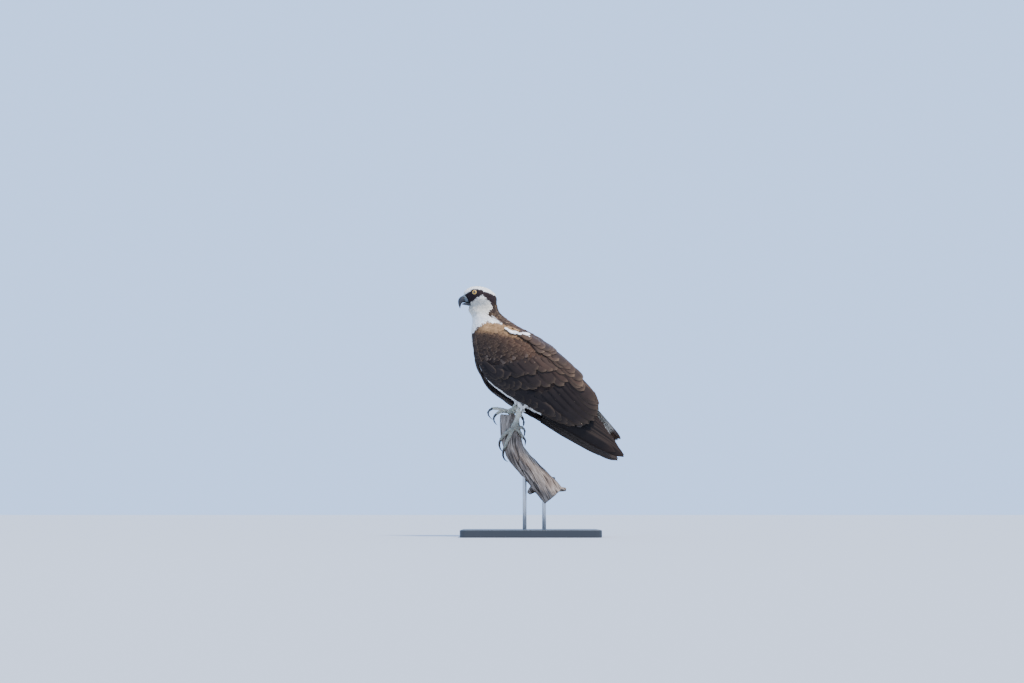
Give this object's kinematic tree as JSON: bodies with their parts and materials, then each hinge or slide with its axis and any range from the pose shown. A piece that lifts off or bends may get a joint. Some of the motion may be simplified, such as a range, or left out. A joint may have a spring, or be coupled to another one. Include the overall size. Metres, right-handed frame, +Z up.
{
  "type": "osprey on a branch, museum model on a display stand",
  "caption": "Life-size perched osprey gripping a short cut branch with both feet, wings folded, head turned slightly left, held by a plain flat base and rods.",
  "frame": {"origin": "on the floor, under the middle of the base's flat underside", "axes": "+Z up, -X the way the bird's body faces, -Y its left side"},
  "size_m": [0.4127, 0.24, 0.6242],
  "materials": {
    "plumage_white": "white contour feathers, dark brown above",
    "plumage_brown": "dark brown wing and tail feathers with thin pale edges",
    "plumage_dark": "blackish brown flight feathers",
    "eye": "glossy yellow-orange iris with a black pupil",
    "cere": "smooth blue-grey skin",
    "bill": "black horn, polished by wear",
    "foot": "pale green-grey scaly skin",
    "claw": "black horn",
    "dead_wood": "weathered grey dead wood",
    "stand_base": "satin black painted board",
    "stand_rod": "brushed steel rod"
  },
  "bodies": {
    "root": {"head": "plumage_white", "neck": "plumage_white", "trunk": "plumage_white", "thigh_left": "plumage_white", "thigh_right": "plumage_white", "tail": "plumage_brown", "wing_left_coverts": "plumage_brown", "wing_left_secondaries": "plumage_brown", "wing_left_primaries": "plumage_dark", "wing_right_coverts": "plumage_brown", "wing_right_secondaries": "plumage_brown", "wing_right_primaries": "plumage_dark", "eye_left": "eye", "eye_right": "eye", "cere": "cere", "beak_upper": "bill", "beak_lower": "bill", "foot_left": "foot", "foot_right": "foot", "claw_left_1": "claw", "claw_left_2": "claw", "claw_left_3": "claw", "claw_left_4": "claw", "claw_right_1": "claw", "claw_right_2": "claw", "claw_right_3": "claw", "claw_right_4": "claw", "perch": "dead_wood", "stand_base": "stand_base", "stand_rod_1": "stand_rod", "stand_rod_2": "stand_rod"}
  },
  "joints": []
}
